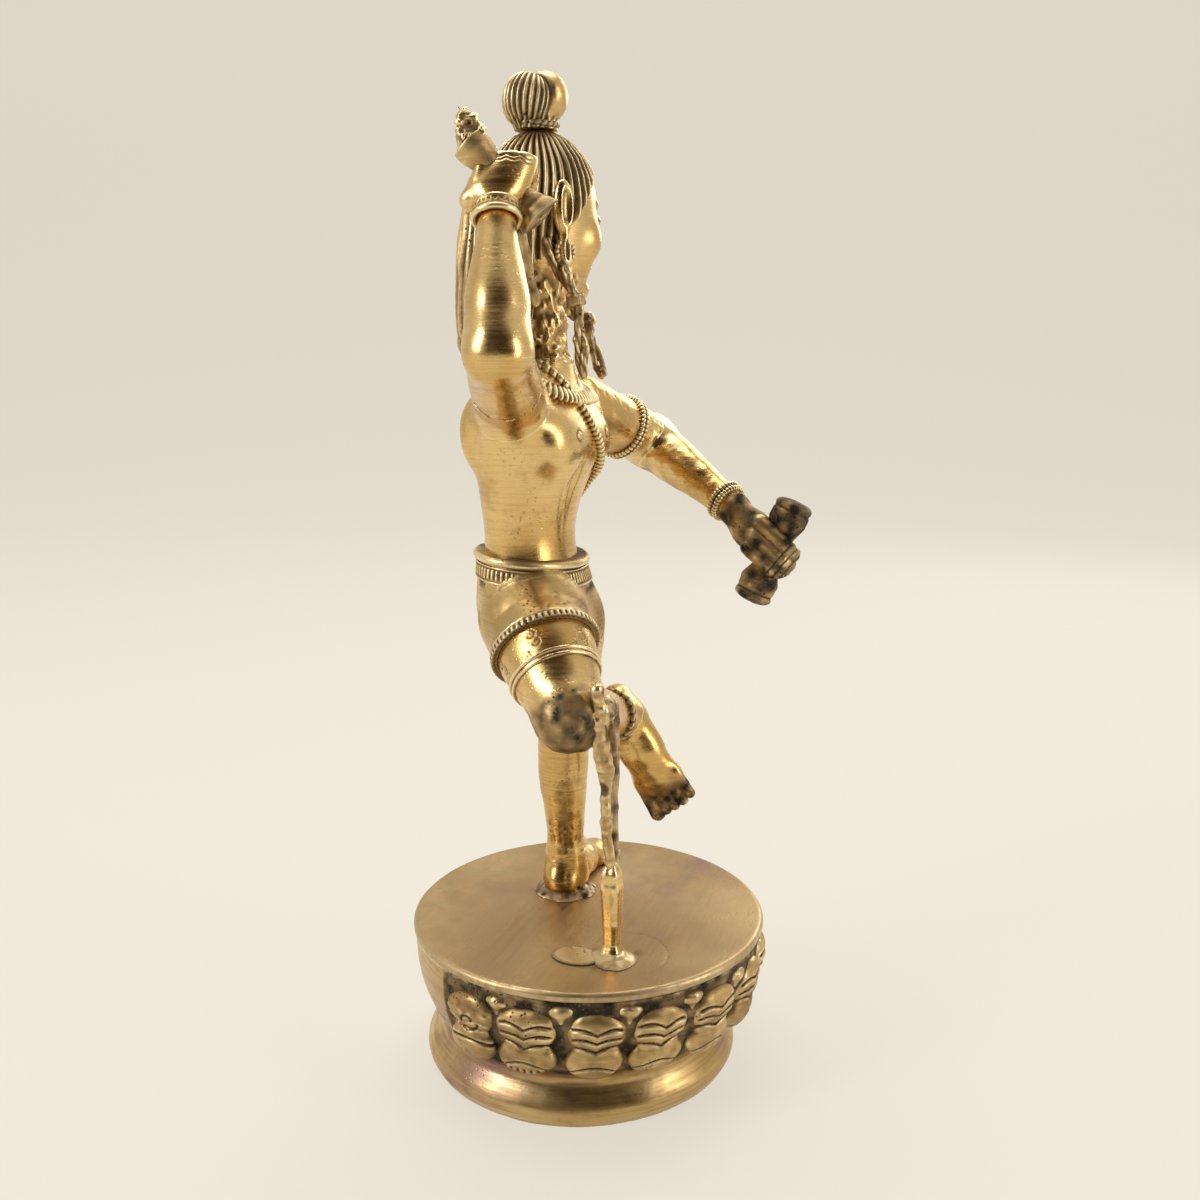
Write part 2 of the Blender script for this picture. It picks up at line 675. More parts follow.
def bud_petals(p):
    s, t, w, number = petal_frame(p, PETAL_COUNT - 1, 42, 59.4)
    q = np.stack([s, t, w - 0.1 * t], 1)
    stalk = bone(q, np.array((0, 1.6, 0)), np.array((0, -3.6, -0.6)), 2.1, 0.7)
    d = melt(egg(q, (0, 2.2, 0), (4.0, 2.2, 2.0)), stalk, 1.2)
    return (d + 0.2 * lumps(p, 2.4)) * 0.9, most(step(0.8, -0.8, w), 0.25 + 0.2 * lumps(p, 3))


# ---------------------------------------------------------------- body
torso_stack = Stack([
    (0, 0.5, -0.5, 17, 14), (8, 0, 0, 22, 17), (16, 0, 0, 23.5, 17.4), (24, -0.5, 0.5, 21.5, 16),
    (32, -0.8, 1.4, 19.5, 14.6), (41, -0.9, 1.8, 19.5, 13.9), (54, -0.6, 1, 23, 16),
    (62, 0, -0.6, 26.5, 18.8), (72, 0.1, -1.2, 30, 19.8), (82, 0.1, -0.8, 30, 17.6),
    (90, 0, -0.5, 21, 14), (96, 0, -0.5, 11, 11)], 3.5)


def trunk(p):
    """The trunk without its finish, which the cords and the dress lie on."""
    x, y, z = (p - BONE["hips"]).T
    return torso_stack(x, y, z)


def torso_form(p):
    x, y, z = (p - BONE["hips"]).T
    d = torso_stack(x, y, z)
    q = np.stack([np.abs(x), y, z], 1)
    d = melt(d, egg(q, (12.5, -13.0, 70.5), (13, 7.6, 9.6)), 5)              # breast muscles
    d = melt(d, egg(q, (14, 12.5, 74), (11, 6, 12)), 5)                    # shoulder blades
    d = cut(d, egg(q, (0, 19.5, 62), (1.6, 3.2, 24)), 3)                   # spine
    d = cut(d, egg(q, (7.5, -19.2, 46), (1.8, 5.0, 16)), 3)                # beside the belly muscles
    d = cut(d, egg(q, (0, -16.4, 37.5), (1.6, 3.0, 2.0)), 1.2)             # navel
    return d


right_arm_form = Limb("right_shoulder", "right_elbow", ((0, 10.8), (0.4, 10.7), (0.75, 9.8), (1, 8.9)))
right_forearm_form = Limb("right_elbow", "right_wrist",
                          ((0, 8.5), (0.15, 9.2), (0.33, 9.4), (0.5, 8.2), (0.66, 6.9), (0.8, 5.9),
                           (0.93, 5.3), (1, 5.4)), 2.0)
left_arm_limb = Limb("left_shoulder", "left_elbow", ((0, 11.4), (0.4, 10.9), (0.75, 10.3), (1, 9.6)))
left_forearm_form = Limb("left_elbow", "left_wrist",
                         ((0, 9.4), (0.25, 9.0), (0.5, 7.8), (0.75, 6.2), (1, 5.5)))
DIMPLE = BONE["left_elbow"] + (-12.5, -11.0, 2.0)


def left_arm_form(p):
    return cut(left_arm_limb(p), egg(p, DIMPLE, (1.8, 1.8, 1.5)), 0.8)


def neck_form(p):
    return bone(p, BONE["neck"] - (0, 0, 6), from_head(0, -3, -14), 11.2, 9.2)


left_leg_limb = Limb("left_hip", "left_ankle", ((0, 13.6), (0.22, 11.8), (0.38, 9.8), (0.46, 9.2), (0.6, 8.8),
                                                  (0.75, 7.7), (0.9, 6.5), (1, 6.5)))


def left_leg_form(p):
    knee = BONE["left_knee"]
    d = melt(left_leg_limb(p), egg(p, knee + (0, -5.6, 1), (4.4, 3.4, 5.4)), 3)
    return melt(d, egg(p, knee + (0, 3.5, -15), (6.6, 6.2, 15)), 3)


LEFT_TOES = ((1.0, 2.5), (0.98, 2.0), (0.96, 1.9), (0.93, 1.8), (0.89, 1.7))      # reach, radius
RIGHT_TOES = ((0.99, 2.7), (0.98, 2.0), (0.97, 1.9), (0.95, 1.9), (0.91, 1.8))


def left_foot_form(p):
    heel, toes = BONE["left_heel"], BONE["left_toes"]
    d = tube(p, [(heel + (-3.5, 0, 5.2), 5.6), (heel + (3, 0, 6.4), 7.0),
                 (between(heel, toes, 0.45) + (0, 0, 4.4), 6.0),
                 (between(heel, toes, 0.76) + (0, 0, 2.6), 4.4)], 1)
    d = melt(d, bone(p, BONE["left_ankle"], heel + (0, 0, 5), 6.6, 7.4), 4)
    ball = between(heel, toes, 0.74)
    d = melt(d, egg(p, ball + (0, 0, 2.2), (8, 9.4, 4.4)), 3)
    for i, (reach, radius) in enumerate(LEFT_TOES):
        side = -7.2 + i * 3.75
        start = ball + (1, -side, 3.2)
        end = between(heel, toes, reach) + (-radius, -side * 1.04, radius)
        d = melt(d, bone(p, start, end, radius, radius), 0.9)
    return most(d, PLATE_TOP - p[:, 2])


THIGH = (BONE["right_hip"], BONE["right_knee"])


right_thigh_form = Limb("right_hip", "right_knee",
                        ((0, 14.0), (0.2, 16.4), (0.4, 15.8), (0.7, 13.4), (1, 10.9)))
right_shin_form = Limb("right_knee", "right_ankle",
                       ((0, 10.6), (0.3, 10.2), (0.6, 8.6), (0.85, 7.1), (1, 7.0)))


FOOT_LINE = BONE["right_toes"] - BONE["right_ankle"]
FOOT_DOWN = unit(FOOT_LINE)
SOLE = unit(np.array((1.0, 0, 0)) - FOOT_DOWN * FOOT_DOWN[0])
FOOT_ACROSS = np.cross(SOLE, FOOT_DOWN)


def right_foot_point(reach, across, sink):
    return BONE["right_ankle"] + FOOT_LINE * reach + FOOT_ACROSS * across + SOLE * sink


def right_foot_form(p):
    place = right_foot_point
    d = tube(p, [(place(-0.14, 0, 2.5), 5.6), (place(0.05, 0, 1.0), 7.2), (place(0.35, 0, 0.6), 6.6),
                 (place(0.62, 0, 1.2), 4.8)], 1)
    axes = (FOOT_ACROSS, FOOT_DOWN, SOLE)
    d = melt(d, egg(p, place(0.36, 0, 1.0), (7.6, 15, 5.4), axes), 4)
    d = melt(d, egg(p, place(0.66, 0, 1.6), (9.2, 8.0, 4.0), axes), 3)
    for i, (reach, radius) in enumerate(RIGHT_TOES):
        side = TOE_SIDE * (-6.6 + i * 3.6)
        d = melt(d, bone(p, place(0.66, side * 0.9, 1.4), place(reach, side, 2.4), radius + 0.2, radius), 0.9)
    return d


TOE_SIDE = -1 if FOOT_ACROSS[1] > 0 else 1      # the big toe is towards the front

HEAD_YAW = math.radians(57)
AHEAD = np.array((math.sin(HEAD_YAW), -math.cos(HEAD_YAW), 0))
BESIDE = np.array((-math.cos(HEAD_YAW), -math.sin(HEAD_YAW), 0))     # towards the right ear
UP = np.array((0, 0, 1.0))


def from_head(beside, ahead, up):
    return BONE["head"] + BESIDE * beside + AHEAD * ahead + UP * up


def in_head(p):
    return (p - BONE["head"]) @ np.array((BESIDE, AHEAD, UP)).T


def mirrored(q):
    """The points with one side folded over onto the other."""
    return np.stack([np.abs(q[:, 0]), q[:, 1], q[:, 2]], 1)


def head_form(p):
    q = in_head(p)
    m = mirrored(q)
    d = egg(q, (0, 0, 2), (16.2, 18.4, 22.3))
    d = melt(d, egg(q, (0, 3.0, -11), (12.8, 14.2, 16.6)), 4)
    d = melt(d, egg(m, (8.6, 10.6, -7.5), (5.4, 5.2, 6.4)), 3.5)           # cheeks
    d = melt(d, egg(q, (0, 13.9, -22.4), (4.2, 3.6, 3.6)), 2.5)            # chin
    d = cut(d, egg(m, (6.6, 18.4, -0.6), (4.6, 3.4, 3.0)), 2.5)            # eye sockets
    d = melt(d, bone(m, np.array((2.2, 17.4, 3.4)), np.array((10.6, 13.4, 3.6)), 1.3, 0.9), 1.6)   # brows
    d = melt(d, egg(m, (6.5, 14.7, -1.2), (3.9, 2.7, 2.3)), 0.5)           # eyes
    d = melt(d, bone(q, np.array((0, 17.2, 2.5)), np.array((0, 20.6, -7.6)), 1.2, 2.0), 1.8)       # nose
    d = melt(d, egg(m, (2.1, 18.4, -8.2), (1.5, 1.8, 1.4)), 0.8)
    d = melt(d, egg(q, (0, 17.0, -13.0), (4.3, 2.0, 1.5)), 0.7)            # lips
    d = melt(d, egg(q, (0, 16.4, -15.4), (3.6, 2.0, 1.4)), 0.7)
    d = melt(d, neck_form(p), 4)
    ear = egg(m, (17.2, -4.0, 0.5), (2.6, 3.6, 8.4))
    ear = cut(ear, egg(m, (19.7, -3.6, 0.6), (1.9, 2.0, 6.4)), 0.5)
    lobe = bone(m, np.array((17.2, -3.8, -5)), np.array((17.0, -3.2, -15.0)), 1.7, 2.1)
    lobe = cut(lobe, egg(m, (19.2, -3.4, -12), (1.3, 0.8, 3.4)), 0.4)
    return melt(melt(d, ear, 0.6), lobe, 0.6)


# ---------------------------------------------------------------- finishes of the body pieces
def filed(form, size, depth):
    """A form with the slight unevenness of hand filing."""
    def field(p):
        return form(p) + depth * lumps(p, size), np.zeros(len(p))
    return field


torso_whole = joined(torso_form, (right_arm_form, 8), (left_arm_form, 6), (neck_form, 5),
                     (right_thigh_form, 5), (left_leg_form, 5))
right_arm_whole = joined(right_arm_form, (torso_form, 8), (right_forearm_form, 5))
right_forearm_whole = joined(right_forearm_form, (right_arm_form, 5))
left_arm_whole = joined(left_arm_form, (torso_form, 6), (left_forearm_form, 4))
left_forearm_whole = joined(left_forearm_form, (left_arm_form, 4))
left_leg_whole = joined(left_leg_form, (torso_form, 5), (left_foot_form, 3.5))
left_foot_whole = joined(left_foot_form, (left_leg_form, 3.5))
right_thigh_whole = joined(right_thigh_form, (torso_form, 5), (right_shin_form, 4))
right_shin_whole = joined(right_shin_form, (right_thigh_form, 4), (right_foot_form, 3))
right_foot_whole = joined(right_foot_form, (right_shin_form, 3))
head_whole = joined(head_form, (torso_form, 5))


def torso(p):
    d = torso_whole(p)
    x, y, z = (p - BONE["hips"]).T
    spot = np.array((-12.6, 0, 73.0))
    near = np.hypot(x - spot[0], z - spot[2])
    other = np.hypot(x + spot[0], z - spot[2])
    near = np.where(y < -6, np.minimum(near, other), 99)
    ring = line(near - 1.7, 0.35)
    d = d - 0.35 * line(near - 1.1, 0.5) + 0.30 * ring - 0.3 * line(near, 0.7)
    return d + 0.08 * lumps(p, 6), ring * 0.9


def right_upper_arm(p):
    a, b = BONE["right_shoulder"], BONE["right_elbow"]
    s, r, _ = along(p, a, b)
    marks = comb(s / 1.1 + 0.4 * lumps(p, 3), 2) * step(-0.3, 0.4, lumps(p, (5, 5, 3)))
    marks = step(4, 8, s) * step(22, 17, s) * marks
    return right_arm_whole(p) + 0.10 * marks + 0.08 * lumps(p, 6), marks * 0.35


def left_upper_arm(p):
    d = left_arm_whole(p)
    dimple = step(3.4, 1.4, length(p - DIMPLE))
    low = step(2, -6, p[:, 2] - np.interp(p[:, 0], (26, 62), (226, 211.7)))
    low = low * step(-0.4, 0.5, lumps(p, (9, 9, 5)))
    return d + 0.21 * lumps(p, 4.5) + 0.12 * lumps(p, 1.6), most(dimple, 0.45 * low)


def left_forearm(p):
    d = left_forearm_whole(p)
    a, b = BONE["left_elbow"], BONE["left_wrist"]
    line_height = a[2] + (b[2] - a[2]) * ((p - a) @ (b - a)) / ((b - a) @ (b - a))
    low = step(0, -6, p[:, 2] - line_height) * step(-0.5, 0.4, lumps(p, (7, 7, 4)))
    return d + 0.18 * lumps(p, 4) + 0.06 * lumps(p, 1.4), 0.5 * low


def left_leg(p):
    d = left_leg_whole(p)
    pitted = step(0.30, 0.75, lumps(p, 1.5)) * step(-0.2, 0.3, lumps(p, 12))
    return d + 0.16 * lumps(p, 3.2) + 0.22 * pitted, 0.65 * pitted


def left_foot(p):
    heel, toes = BONE["left_heel"], BONE["left_toes"]
    d = left_foot_whole(p) + 0.10 * lumps(p, 3)
    nails = np.zeros(len(p))
    for i, (reach, radius) in enumerate(LEFT_TOES):
        spot = between(heel, toes, reach) + (-radius, (7.2 - i * 3.75) * 1.04, 2 * radius - 0.2)
        nails = most(nails, line(length((p - spot) * (1, 1.2, 1)) - 0.62 * radius, 0.22))
    return d + 0.15 * nails, most(nails * 0.8, step(PLATE_TOP + 1.0, PLATE_TOP, p[:, 2]) * 0.8)


def right_thigh(p):
    a, b = THIGH
    s, r, angle = along(p, a, b)
    d = right_thigh_whole(p)
    reach = np.linalg.norm(b - a)
    under = step(0.84, 0.97, s / reach + 0.12 * lumps(p, 7) - 0.006 * (p[:, 2] - b[2]))
    scrolls = np.zeros(len(p))
    for turn in (0, 1, 2, 3, 4, 5):
        for rise in (0, 1, 2):
            along_s = reach * (0.36 + 0.085 * rise)
            arc = angle - (turn * math.pi / 3 + 0.12 * rise)
            arc = (arc + np.pi) % TURN - np.pi
            u, v = (s - along_s), arc * r + 2.6 * (rise % 2) - 1.3
            ring = np.hypot(u, v)
            gap = step(-0.9, -0.2, np.cos(np.arctan2(v, u) + 0.6))
            scrolls = most(scrolls, line(ring - 1.25, 0.26) * gap)
            scrolls = most(scrolls, line(ring - 0.1, 0.35) * 0.8)
    d = d + 0.2 * scrolls + 0.07 * lumps(p, 5) + under * 0.25 * lumps(p, 2.4)
    return d, most(scrolls * 0.9, under * (0.72 + 0.35 * lumps(p, 3)))


def right_shin(p):
    d = right_shin_whole(p)
    stain = 0.35 * step(0, 0.7, lumps(p, 5)) * step(140, 120, p[:, 2])
    return d + 0.12 * lumps(p, 4) + 0.05 * lumps(p, 1.4), stain


def right_foot(p):
    d = right_foot_whole(p) + 0.08 * lumps(p, 3)
    reach = ((p - BONE["right_ankle"]) @ FOOT_DOWN) / np.linalg.norm(FOOT_LINE)
    nails = np.zeros(len(p))
    for i, (end, radius) in enumerate(RIGHT_TOES):
        spot = right_foot_point(end - 0.01, TOE_SIDE * (-6.6 + i * 3.6), 2.4 - radius)
        nails = most(nails, line(length(p - spot) - 0.62 * radius, 0.24))
    toes = step(0.62, 0.82, reach)
    return d + 0.16 * nails, most(nails * 0.7, toes * (0.78 + 0.4 * lumps(p, 2.2)))


def head(p):
    q = in_head(p)
    m = mirrored(q)
    d = head_whole(p)
    front = step(8, 11, q[:, 1])
    lid = line(m[:, 2] + 2.1 - 0.05 * (m[:, 0] - 6.5) ** 2, 0.20) * step(4.4, 3.4, np.abs(m[:, 0] - 6.5))
    fold = line(m[:, 2] - 1.5 + 0.055 * (m[:, 0] - 6.5) ** 2, 0.20) * step(4.8, 3.8, np.abs(m[:, 0] - 6.5))
    mouth = line(q[:, 2] + 14.3 - 0.03 * q[:, 0] ** 2, 0.26) * step(5.0, 4.0, m[:, 0])
    nostril = line(length((m - (1.5, 19.4, -9.4)) * (1, 1, 1.3)), 0.6)
    brow = line(m[:, 2] - 4.3 + 0.035 * (m[:, 0] - 6) ** 2, 0.24) * step(5.4, 4.6, np.abs(m[:, 0] - 6.4))
    mark = line(length((q - (0, 18.2, 8.2)) * (1, 1, 0.5)) - 1.2, 0.3) * 0.7
    cuts = front * most(lid, fold, mouth, nostril, brow, mark)
    neck = step(-16, -21, q[:, 2]) * step(9, 5, q[:, 1])
    curls = lumps(p, (1.8, 1.8, 2.4)) + 0.6 * lumps(p, 3.4)
    d = d + 0.28 * cuts + 0.9 * neck * curls + 0.04 * lumps(p, 5)
    return d, most(cuts, neck * (0.3 + 0.6 * curls))


# ---------------------------------------------------------------- hair
def hair_cap(p):
    q = in_head(p)
    x, y, z = q.T
    d = egg(q, (0, -0.8, 1.6), (17.9, 20.1, 24.2))
    plane = (y - 8.5 - 0.75 * (z - 8)) / 1.25
    plane = plane + 0.9 * np.cos(x / 5.5)
    angle = np.arctan2(x, y + 1.4)
    around = np.hypot(x, y + 1.4)
    locks = angle * 38 / TURN + 0.3 * lumps(p, 9) + 0.012 * z
    cuts = comb(locks, 1.6) * step(5.0, 7.5, around)
    d = d + 0.75 * cuts + 0.28 * np.cos(TURN * locks) * step(5, 9, around) + 0.15 * lumps(p, 3)
    behind_ear = step(8, 4, length(np.stack([np.abs(x) - 15, y + 5, (z + 6) * 0.7], 1)))
    d = -melt(-d, -plane, 0.5)
    around_ear = egg(mirrored(q), (18.4, -3.4, -3.0), (3.4, 4.6, 13.0))
    d = most(cut(d, around_ear, 0.6), -head_form(p) - 0.15)
    return d * 0.85, most(cuts, behind_ear * (0.6 + 0.4 * lumps(p, 2)))


hair_stack = Stack([
    (-60, 1.5, -17, 9.5, 4), (-52, 1.5, -18.5, 14.5, 6.6), (-40, 1, -19.5, 17, 8.6),
    (-28, 0.5, -19, 17.3, 9.4), (-12, 0, -18.5, 17, 9.6), (4, 0, -17, 15.5, 8), (16, 0, -15, 12, 5)], 3)


def back_hair(p):
    x, y, z = in_head(p).T
    d = hair_stack(x, y, z)
    low = step(-30, -50, z)
    sway = 0.9 * np.sin(z / 7.0)
    locks = (np.arctan2(x + sway, -(y + 8)) * 11) / 2.4 + 0.4 * lumps(p, (6, 6, 16))
    cuts = comb(locks, 1.5)
    d = d + 0.8 * cuts + 0.3 * np.cos(TURN * locks) + 0.25 * lumps(p, 5)
    d = d + low * (1.1 * lumps(p, 3.4) + 0.8 * lumps(p, 1.7))
    d = most(d, -torso_form(p), -head_form(p))
    return d * 0.75, most(cuts * 0.95, low * (0.4 + 0.6 * lumps(p, 3.2)))


def topknot(p):
    q = in_head(p)
    x, y, z = q.T
    rear = egg(q, (0, -5.8, 34.0), (8.9, 7.4, 8.9))
    front = egg(q, (0.3, 1.2, 35.8), (8.0, 7.0, 7.9))
    angle = np.arctan2(x, y + 3.2 - 0.10 * (z - 34))
    cuts = comb(angle * 27 / TURN + 0.03 * (z - 34), 1.3) * step(0.0, -1.6, y + 1.5)
    seam = line(y + 1.6 + 0.02 * (z - 34) ** 2, 0.6)
    strokes = comb(angle * 60 / TURN + 0.2 * lumps(p, 4), 1.8)
    strokes = strokes * step(36, 31, z) * step(0.5, 2, y)
    d = melt(rear + 0.9 * cuts, front + 0.14 * strokes, 0.6)
    stem = bone(q, np.array((0, -2.0, 24)), np.array((0, -2.4, 31)), 7.4, 5.6)
    d = melt(d, stem, 1.5) + 0.35 * seam + 0.10 * lumps(p, 3)
    d = most(d, 25.4 - z)
    swirl = step(31, 28, z) * comb(angle * 16 / TURN + 0.3 * z, 1.8)
    return d + 0.3 * swirl, most(cuts * 0.95, seam, swirl * 0.8)


def topknot_tie(p):
    q = in_head(p)
    angle = np.arctan2(q[:, 0], q[:, 1] + 1.4)
    tilt = 27.2 + 0.4 * np.cos(angle * 2)
    x, z = np.hypot(q[:, 0], q[:, 1] + 2.0) - 6.9, q[:, 2] - tilt
    twist = comb(angle * 22 / TURN + 0.25 * z, 1.7)
    return np.hypot(x + 0.5, z * 1.15) - 1.2 + 0.2 * twist, 0.4 + 0.5 * twist


def earring_field(side):
    middle = from_head(side * 17.2, -3.4, -12.6)

    def field(p):
        q = (p - middle) @ np.array((BESIDE, AHEAD, UP)).T
        ring = np.hypot(np.hypot(q[:, 1], q[:, 2] * 0.85) - 3.0, q[:, 0]) - 0.85
        angle = np.arctan2(q[:, 1], q[:, 2])
        cuts = comb(angle * 14 / TURN, 1.6)
        drop = egg(q, (0, 0, -3.9), (1.4, 1.4, 1.9))
        return melt(ring + 0.2 * cuts, drop, 0.6), cuts * 0.7
    return field


LOCKS = {name: [at(name, *shares) for shares in places] for name, places in {
    "right_hair_lock": ((0.247, 0.896, 0.977), (0.396, 0.233, 0.565), (0.767, 0.138, 0.006)),
    "left_hair_lock": ((0.162, 0.964, 0.952), (0.782, 0.264, 0.529), (0.564, 0.054, 0.02))}.items()}


def lock_field(name):
    top, middle, end = LOCKS[name]

    def field(p):
        d = melt(rope(p, top, middle, 2.4, 0.03), rope(p, middle, end, 2.2, 0.03), 0.8)
        fall = unit(end - middle)
        side = unit(np.cross(fall, (1.0, 0, 0)))
        knot = block(p, middle, (np.cross(side, fall), side, fall), (2.7, 2.7, 1.9), 0.9)
        d = melt(d, knot, 0.5)
        s, r, angle = along(p, top, end)
        strands = comb(angle * 7 / TURN + 0.1 * s + 0.3 * lumps(p, 4), 1.5)
        grains = lumps(p, (1.6, 1.6, 2.2))
        d = d + 0.2 * strands + 0.35 * grains + 0.3 * lumps(p, 4)
        return d, most(0.8 * strands, 0.3 + 0.5 * grains)
    return field


# ---------------------------------------------------------------- cords and dress
def skin_cord(centre, normal, radius, beads, grow=0.5, form=torso_form):
    """A beaded cord lying on the skin where a plane cuts it."""
    normal = unit(normal)
    side = unit(np.cross(normal, UP))
    other = np.cross(normal, side)

    def field(p):
        v = p - centre
        skin = form(p) - grow
        off = v @ normal
        angle = np.arctan2(v @ other, v @ side)
        bead = np.abs(np.sin(angle * beads / 2))
        d = np.hypot(skin, off) - radius * (0.74 + 0.34 * bead)
        return d, most(step(0.42, 0.1, bead), step(0.1, -0.9, skin) * 0.8)
    return field


NECK_TILT = math.radians(24)
necklace = skin_cord(BONE["neck"] + (0, -1.5, 0), (0, -math.sin(NECK_TILT), math.cos(NECK_TILT)), 1.7, 60)
CORD_MIDDLE = at("torso", 0.571, 0.505, 0.729)
chest_cord_all = skin_cord(CORD_MIDDLE, (0.82, -0.10, 0.56), 1.35, 74)


def chest_cord(p):
    d, g = chest_cord_all(p)
    return most(d, -head_form(p)), g


CLOTH = 1.9


def hip_cloth_form(p):
    return melt(torso_form(p), left_leg_form(p), 5) - CLOTH


def sleeve_cloth_form(p):
    return right_thigh_form(p) - CLOTH


hip_cloth = joined(hip_cloth_form, (sleeve_cloth_form, 8))
sleeve_cloth = joined(sleeve_cloth_form, (hip_cloth_form, 8))


BELT = at("belt_band", 0.503, 0.52, 0.51)
BELT_NORMAL = np.array((0, -math.sin(math.radians(5.5)), math.cos(math.radians(5.5))))
DHOTI_LOW, DHOTI_HIGH = box("dhoti_hips")[0][2], box("dhoti_hips")[1][2]


def cloth_finish(p):
    """Folds, lumps and pits that run on from the hips into the sleeve, with their patina."""
    folds = np.sin(p[:, 0] / 3.1 + p[:, 2] / 6.0 + lumps(p, 14))
    pitted = step(0.30, 0.8, lumps(p, 1.7)) * step(-0.1, 0.5, lumps(p, 10))
    front = step(-0.2, 0.5, lumps(p, (9, 9, 14))) * step(10, -6, p[:, 1])
    return 0.22 * folds + 0.2 * pitted + 0.14 * lumps(p, 3), most(0.7 * front, 0.6 * pitted, 0.1)


def dhoti_hips(p):
    z = p[:, 2]
    d = most(hip_cloth(p), -hip_cloth_form(p) - CLOTH - 0.1)
    d = most(d, DHOTI_LOW - z, z - DHOTI_HIGH)
    edge = z - DHOTI_LOW
    hem = most(line(edge - 1.6, 0.35), line(edge - 3.4, 0.35))
    relief, patina = cloth_finish(p)
    belt = line((p - BELT) @ BELT_NORMAL + 4.4, 2.2) * step(-0.1, 0.4, lumps(p, 9, 3.0))
    return d + relief + 0.25 * hem, most(hem, patina, belt)


HEM_SHARE = 0.22


def dhoti_sleeve(p):
    a, b = THIGH
    s, r, angle = along(p, a, b)
    reach = np.linalg.norm(b - a) * HEM_SHARE
    d = most(sleeve_cloth(p), -right_thigh_form(p) - 0.1, s - reach)
    relief, patina = cloth_finish(p)
    return d + relief, patina


def belt_band(p):
    v = p - BELT
    across = v @ BELT_NORMAL
    body = torso_form(p)
    angle = np.arctan2(v[:, 1], v[:, 0])
    d = most(body - 3.0, -body, np.abs(across) - 2.7)
    ticks = comb(angle * 76 / TURN, 1.9) * step(1.9, 1.5, np.abs(across - 0.1))
    rims = most(line(across - 1.9, 0.35), line(across + 1.9, 0.35))
    return d + 0.4 * ticks + 0.3 * rims + 0.1 * lumps(p, 3), most(ticks, rims * 0.9)


def belt_cord(p):
    v = p - BELT
    across = v @ BELT_NORMAL - 4.5
    body = torso_form(p)
    d = np.hypot(most(np.abs(body - 1.4) - 0.9, 0), across) - 1.45
    gap = line(across - 1.6, 0.5)
    return d + 0.25 * lumps(p, (7, 7, 3)) + 0.2 * gap, most(gap, line(across + 1.5, 0.4))


def thigh_hem(p):
    a, b = THIGH
    s, r, angle = along(p, a, b)
    reach = np.linalg.norm(b - a) * HEM_SHARE
    thigh = right_thigh_form(p)
    d = most(thigh - 2.3, -thigh, np.abs(s - reach - 1.2) - 1.3)
    ticks = comb(angle * 58 / TURN, 1.9) * step(1.1, 0.8, np.abs(s - reach - 1.2))
    rims = most(line(s - reach + 0.1, 0.3), line(s - reach - 2.5, 0.3))
    d = most(d, -torso_form(p) - 1.8)
    return d + 0.35 * ticks + 0.2 * rims, most(ticks, rims)


def thigh_band(p):
    a, b = THIGH
    s, r, angle = along(p, a, b)
    place = np.linalg.norm(b - a) * 0.6
    thigh = right_thigh_form(p)
    off = np.abs(s - place)                  # the band is double, with a groove on each side
    double = np.hypot(thigh - 0.25, off - 0.95) - 0.62
    return double + 0.12 * lumps(p, 3), most(line(off, 0.35), line(off - 1.7, 0.3))


# ---------------------------------------------------------------- strut
def strut_pad(p):
    x, y, z = (p - BONE["pad"]).T
    r = np.hypot(x, y) + 0.9 * lumps(p, 6) - 0.8 * np.sin(np.arctan2(y, x) * 2)
    height = 2.3 * step(9.5, 3.0, r) + 0.6 * step(5, 3, r)
    d = (z - height - 0.25 * lumps(p, 2.6)) * 0.75
    d = most(d, -z, r - 8.6)
    return d, 0.8 * step(6.6, 8.6, r) + 0.3 * step(0.2, 0.7, lumps(p, 2.5))


def strut_leaf(p):
    x, y, z = (p - BONE["leaf"]).T
    near = np.hypot(x / 6.2, y / 8.4)
    top = 1.05 * (1 - 0.55 * near ** 2)
    d = most(most(z - top, -z) * 0.9, (near - 1) * 6)
    return d + 0.06 * lumps(p, 3), 0.9 * step(0.8, 1.0, near)


def strut_socket(p):
    a = BONE["pad"] + (0, 0, 2.0)
    b = BONE["socket_top"]
    d = tube(p, [(a, 4.0), (between(a, b, 0.12), 2.5), (between(a, b, 0.35), 3.0), (between(a, b, 0.75), 3.5),
                 (between(a, b, 0.9), 3.0), (between(a, b, 0.97), 2.0)])
    s, r, angle = along(p, a, b)
    facets = 0.25 * np.cos(angle * 4 + 0.4)
    stain = 0.35 * step(0.2, 0.8, lumps(p, (2.4, 2.4, 9)))
    return most(d + facets + 0.15 * lumps(p, (3, 3, 8)), a[2] - p[:, 2]), stain


def strut_rod_front(p):
    a, b = BONE["socket_top"] + (-0.6, 0.4, 0), BONE["front_rod_top"]
    bends = ((0.2, 0.3, 0.4, 1.4), (0.4, 0.8, 0.3, 1.9), (0.55, 1.0, 0, 2.3), (0.72, 0.2, 0, 2.4),
             (0.86, 0, 0, 2.0), (0.985, 0, 0, 2.3))
    d = tube(p, [(a, 1.5)] + [(between(a, b, share) + (x, y, 0), radius) for share, x, y, radius in bends])
    gnarls = 0.65 * lumps(p, (3.2, 3.2, 4.6)) + 0.3 * lumps(p, 1.8)
    d = d * 0.85 + gnarls * step(-6, 4, p[:, 2] - a[2]) * step(2, -6, p[:, 2] - b[2])
    return d, most(0.9 * step(0.0, 0.5, lumps(p, (3.2, 3.2, 4.6))), 0.35 + 0.3 * lumps(p, 2))


